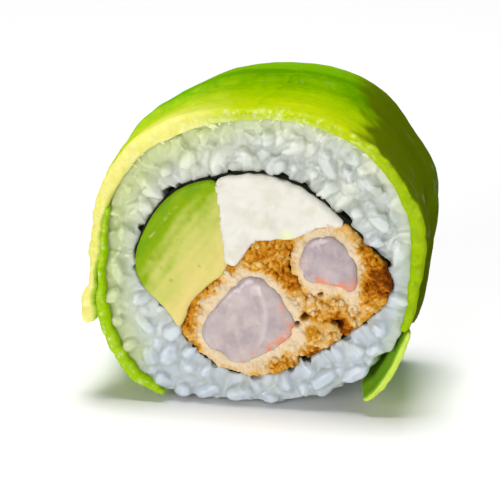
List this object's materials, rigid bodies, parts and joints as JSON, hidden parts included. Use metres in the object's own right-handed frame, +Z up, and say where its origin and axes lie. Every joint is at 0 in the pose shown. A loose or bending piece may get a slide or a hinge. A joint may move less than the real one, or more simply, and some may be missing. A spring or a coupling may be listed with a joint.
{
  "type": "uramaki roll",
  "caption": "Cut piece of inside-out sushi roll: rice ring with avocado slices over it, nori, and a filling of avocado, cream cheese and fried shrimp, lying on its curved side.",
  "frame": {"origin": "the flat spot under the roll that it rests on, halfway along the roll", "axes": "+Y along the roll's axis, away from the shown cut face; +Z up; +X to the right of the shown cut face"},
  "size_m": [0.051, 0.0247, 0.0461],
  "materials": {
    "rice": "moist, slightly translucent cooked rice grains",
    "nori": "thin dark seaweed sheet, dull with a faint sheen",
    "avocado_filling": "cut avocado, green at the rim and pale yellow inside, moist",
    "cream_cheese": "smeared soft white cheese",
    "coating": "fried batter and crumbs, pale inside, golden to brown outside",
    "shrimp": "translucent pinkish grey flesh with orange red at the edge",
    "avocado_slice": "thin wet avocado slices, yellow at one edge and green at the other"
  },
  "bodies": {
    "root": {"rice": "rice", "nori": "nori", "avocado_filling": "avocado_filling", "cream_cheese": "cream_cheese", "coating_lower": "coating", "coating_upper": "coating", "shrimp_lower": "shrimp", "shrimp_upper": "shrimp", "avocado_left": "avocado_slice", "avocado_right": "avocado_slice", "avocado_back": "avocado_slice", "avocado_lower_left": "avocado_slice", "avocado_lower_right": "avocado_slice"}
  },
  "joints": []
}
